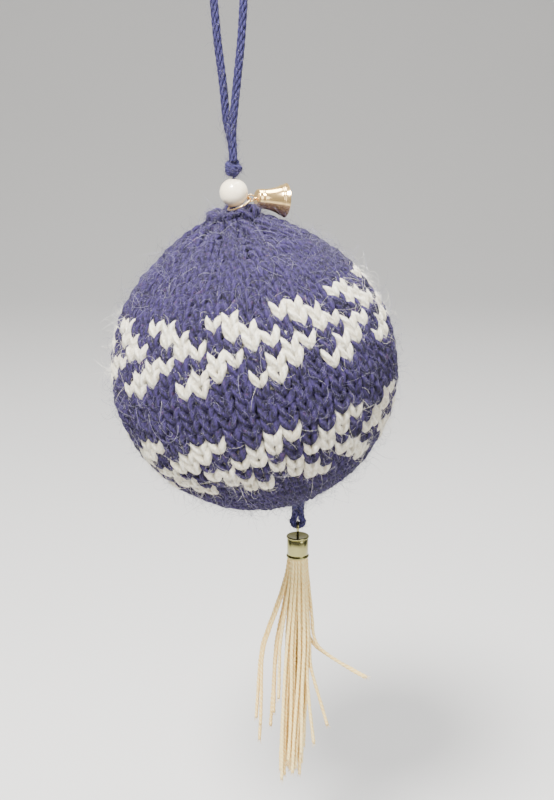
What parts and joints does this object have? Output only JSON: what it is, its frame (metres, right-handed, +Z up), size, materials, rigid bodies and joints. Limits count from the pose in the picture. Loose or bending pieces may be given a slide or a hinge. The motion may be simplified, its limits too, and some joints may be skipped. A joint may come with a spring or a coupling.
{
  "type": "knitted ball ornament",
  "caption": "Stuffed colourwork-knit wool ball on a cord loop, with a pearl bead and small metal bell at its gathered neck and a capped tassel below.",
  "frame": {"origin": "the point that the ornament hangs on, at the inside of the cord loop's top", "axes": "+Z up along the hanging line, +X towards the side that the bell lies on, -Y the front"},
  "size_m": [0.0832, 0.0832, 0.256],
  "materials": {
    "navy_wool": "plied navy wool yarn with loose fibres",
    "colourwork_wool": "hand-knitted stocking stitch, navy with cream stranded colourwork, fuzzy",
    "stuffing_fibre": "loose white fibre filling",
    "pearl": "pearlescent lacquer",
    "gold_plate": "polished gold plate",
    "blackened_metal": "dark oxidised metal",
    "nickel_plate": "bright nickel plate",
    "cream_silk": "cream twisted silky thread",
    "binding_glue": "glued thread binding"
  },
  "bodies": {
    "loop": {"hanging_loop": "navy_wool"},
    "hanger": {"loop_knot": "navy_wool", "bead_thread": "navy_wool", "anchor_knot": "navy_wool"},
    "bead": {"pearl_bead": "pearl"},
    "ball": {"knit_cover": "colourwork_wool", "stuffing": "stuffing_fibre", "top_gather_yarn": "navy_wool", "bottom_gather_yarn": "navy_wool", "tassel_anchor_stitch": "navy_wool"},
    "ring": {"bell_ring": "gold_plate"},
    "bell": {"bell_shell": "gold_plate", "bell_eye": "gold_plate"},
    "clapper": {"bell_clapper": "blackened_metal"},
    "stem": {"tassel_link_yarn": "navy_wool"},
    "tassel": {"tassel_eye_pin": "nickel_plate", "tassel_cap": "nickel_plate", "tassel_binding": "binding_glue", "tassel_strand_01": "cream_silk", "tassel_strand_02": "cream_silk", "tassel_strand_03": "cream_silk", "tassel_strand_04": "cream_silk", "tassel_strand_05": "cream_silk", "tassel_strand_06": "cream_silk", "tassel_strand_07": "cream_silk", "tassel_strand_08": "cream_silk", "tassel_strand_09": "cream_silk", "tassel_strand_10": "cream_silk", "tassel_strand_11": "cream_silk", "tassel_strand_12": "cream_silk", "tassel_strand_13": "cream_silk", "tassel_strand_14": "cream_silk", "tassel_strand_15": "cream_silk", "tassel_strand_16": "cream_silk", "tassel_strand_17": "cream_silk", "tassel_strand_18": "cream_silk", "tassel_strand_19": "cream_silk", "tassel_strand_20": "cream_silk", "tassel_strand_21": "cream_silk", "tassel_strand_22": "cream_silk", "tassel_strand_23": "cream_silk", "tassel_strand_24": "cream_silk", "tassel_strand_25": "cream_silk", "tassel_strand_26": "cream_silk", "tassel_strand_27": "cream_silk", "tassel_strand_28": "cream_silk", "tassel_strand_29": "cream_silk", "tassel_strand_30": "cream_silk", "tassel_strand_31": "cream_silk", "tassel_strand_32": "cream_silk", "tassel_strand_33": "cream_silk", "tassel_strand_34": "cream_silk", "tassel_strand_35": "cream_silk", "tassel_strand_36": "cream_silk", "tassel_strand_37": "cream_silk"}
  },
  "joints": [
    {"name": "loop_swing", "type": "hinge", "parent": "loop", "child": "hanger", "pos_m": [0.0006, 0, -0.0614], "axis": [0, 1, 0], "range_deg": [-70, 70]},
    {"name": "bead_spin", "type": "hinge", "parent": "hanger", "child": "bead", "pos_m": [0.0006, 0, -0.0703], "axis": [0, 0, 1], "continuous": true},
    {"name": "ball_nod", "type": "hinge", "parent": "hanger", "child": "ball", "pos_m": [0.0006, 0, -0.077], "axis": [1, 0, 0], "range_deg": [-4, 4]},
    {"name": "ring_orbit", "type": "hinge", "parent": "ball", "child": "ring", "pos_m": [0.0006, 0, -0.077], "axis": [-0.1271, 0, 0.9919], "continuous": true},
    {"name": "bell_lift", "type": "hinge", "parent": "ring", "child": "bell", "pos_m": [0.0051, 0.00164, -0.07202], "axis": [0.342, -0.9397, 0], "range_deg": [0, 38]},
    {"name": "clapper_swing", "type": "hinge", "parent": "bell", "child": "clapper", "pos_m": [0.00833, 0.00281, -0.07237], "axis": [0.342, -0.9397, 0], "range_deg": [0, 43.6]},
    {"name": "stem_swing", "type": "hinge", "parent": "ball", "child": "stem", "pos_m": [0.019, 0, -0.1616], "axis": [0, 1, 0], "range_deg": [-50, 20]},
    {"name": "tassel_swing", "type": "hinge", "parent": "stem", "child": "tassel", "pos_m": [0.019, 0, -0.1699], "axis": [1, 0, 0], "range_deg": [-60, 60]}
  ]
}
